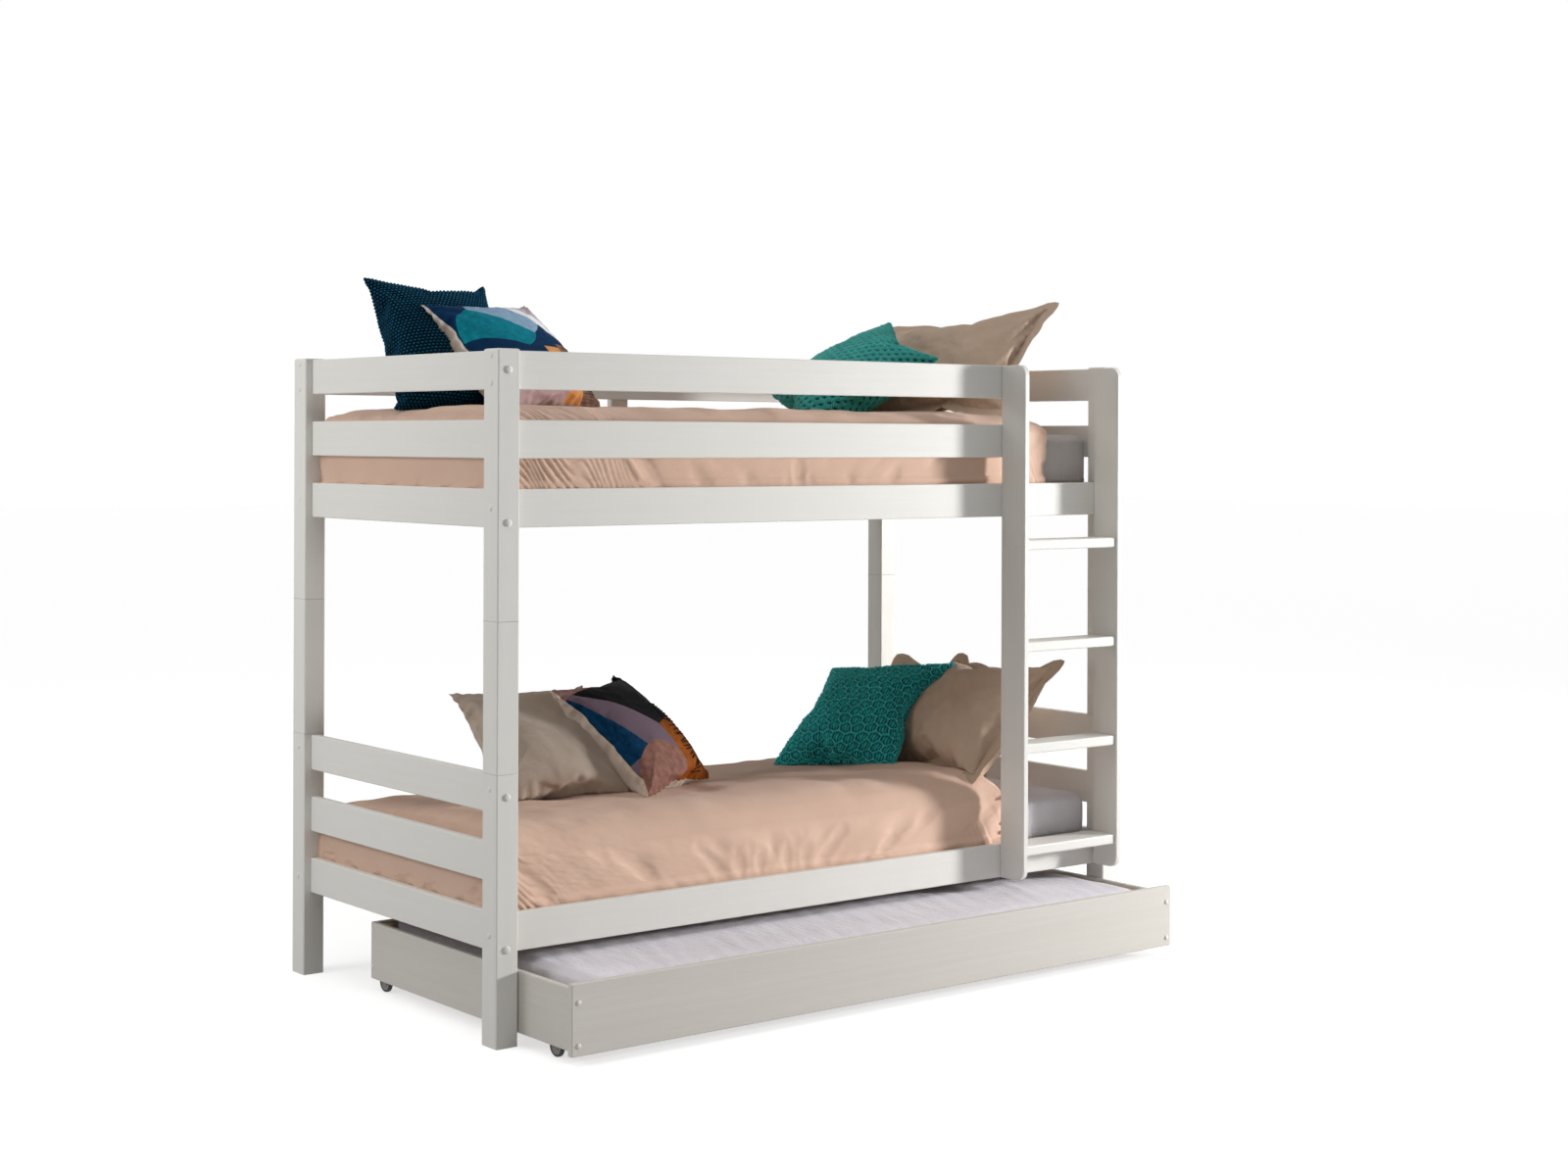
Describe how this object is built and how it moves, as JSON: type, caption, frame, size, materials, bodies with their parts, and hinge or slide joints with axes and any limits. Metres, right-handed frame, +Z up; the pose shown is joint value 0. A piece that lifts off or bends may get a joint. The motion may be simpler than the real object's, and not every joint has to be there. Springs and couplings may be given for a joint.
{
  "type": "bunk bed with trundle drawer",
  "caption": "Pine bunk bed with a front ladder, guard rails, a rolling trundle drawer pulled partly out, mattresses, duvets and cushions.",
  "frame": {"origin": "on the floor, under the middle of the bed and of the drawer as it stands partly pulled out", "axes": "+X along the bed from its foot end to its head end, +Y from the front to the back, +Z up"},
  "size_m": [2.1, 1.252, 1.8606],
  "materials": {
    "white_pine": "white translucent stain, satin",
    "natural_pine": "planed, untreated",
    "caster_tread": "moulded",
    "white_ticking": "woven",
    "grey_sheet": "jersey",
    "peach_cotton": "washed cotton",
    "beige_cotton": "plain cotton",
    "teal_knit": "chunky knit",
    "dark_teal_knit": "seed-stitch knit"
  },
  "bodies": {
    "bed": {"lower_post_front_left": "white_pine", "extension_block_front_left": "white_pine", "upper_post_front_left": "white_pine", "lower_post_front_right": "white_pine", "extension_block_front_right": "white_pine", "upper_post_front_right": "white_pine", "lower_post_back_left": "white_pine", "extension_block_back_left": "white_pine", "upper_post_back_left": "white_pine", "lower_post_back_right": "white_pine", "extension_block_back_right": "white_pine", "upper_post_back_right": "white_pine", "lower_foot_rail_bottom": "white_pine", "lower_foot_rail_middle": "white_pine", "lower_foot_rail_top": "white_pine", "lower_head_rail_bottom": "white_pine", "lower_head_rail_middle": "white_pine", "lower_head_rail_top": "white_pine", "lower_front_side_rail": "white_pine", "lower_back_side_rail": "white_pine", "lower_slat_base": "natural_pine", "upper_foot_rail_bottom": "white_pine", "upper_foot_rail_middle": "white_pine", "upper_foot_rail_top": "white_pine", "upper_head_rail_bottom": "white_pine", "upper_head_rail_middle": "white_pine", "upper_head_rail_top": "white_pine", "upper_front_side_rail": "white_pine", "upper_back_side_rail": "white_pine", "upper_slat_base": "natural_pine", "upper_front_guard_middle": "white_pine", "upper_front_guard_top": "white_pine", "upper_back_guard_middle": "white_pine", "upper_back_guard_top": "white_pine", "upper_back_guard_batten": "white_pine", "ladder_upright_left": "white_pine", "ladder_upright_right": "white_pine", "ladder_rung_1": "white_pine", "ladder_rung_2": "white_pine", "ladder_rung_3": "white_pine", "ladder_rung_4": "white_pine", "lower_mattress": "white_ticking", "upper_mattress": "grey_sheet", "lower_duvet": "peach_cotton", "upper_duvet": "peach_cotton", "upper_foot_cushions": "dark_teal_knit", "upper_head_knit_cushion": "teal_knit", "upper_head_pillow": "beige_cotton", "lower_foot_cushions": "beige_cotton", "lower_head_cushions": "beige_cotton"},
    "trundle": {"trundle_front_panel": "white_pine", "trundle_left_panel": "white_pine", "trundle_right_panel": "white_pine", "trundle_back_panel": "white_pine", "trundle_slat_base": "natural_pine", "trundle_mattress": "white_ticking"},
    "wheel_front_left": {"caster_wheel_front_left": "caster_tread"},
    "wheel_front_right": {"caster_wheel_front_right": "caster_tread"},
    "wheel_rear_left": {"caster_wheel_rear_left": "caster_tread"},
    "wheel_rear_right": {"caster_wheel_rear_right": "caster_tread"}
  },
  "joints": [
    {"name": "trundle_slide", "type": "slide", "parent": "bed", "child": "trundle", "axis": [0, 1, 0], "range_m": [-0.697, 0.223]},
    {"name": "roll_front_left", "type": "hinge", "parent": "trundle", "child": "wheel_front_left", "pos_m": [-0.965, -0.513, 0.025], "axis": [1, 0, 0], "continuous": true},
    {"name": "roll_front_right", "type": "hinge", "parent": "trundle", "child": "wheel_front_right", "pos_m": [0.965, -0.513, 0.025], "axis": [1, 0, 0], "continuous": true},
    {"name": "roll_rear_left", "type": "hinge", "parent": "trundle", "child": "wheel_rear_left", "pos_m": [-0.965, 0.272, 0.025], "axis": [1, 0, 0], "continuous": true},
    {"name": "roll_rear_right", "type": "hinge", "parent": "trundle", "child": "wheel_rear_right", "pos_m": [0.965, 0.272, 0.025], "axis": [1, 0, 0], "continuous": true}
  ]
}
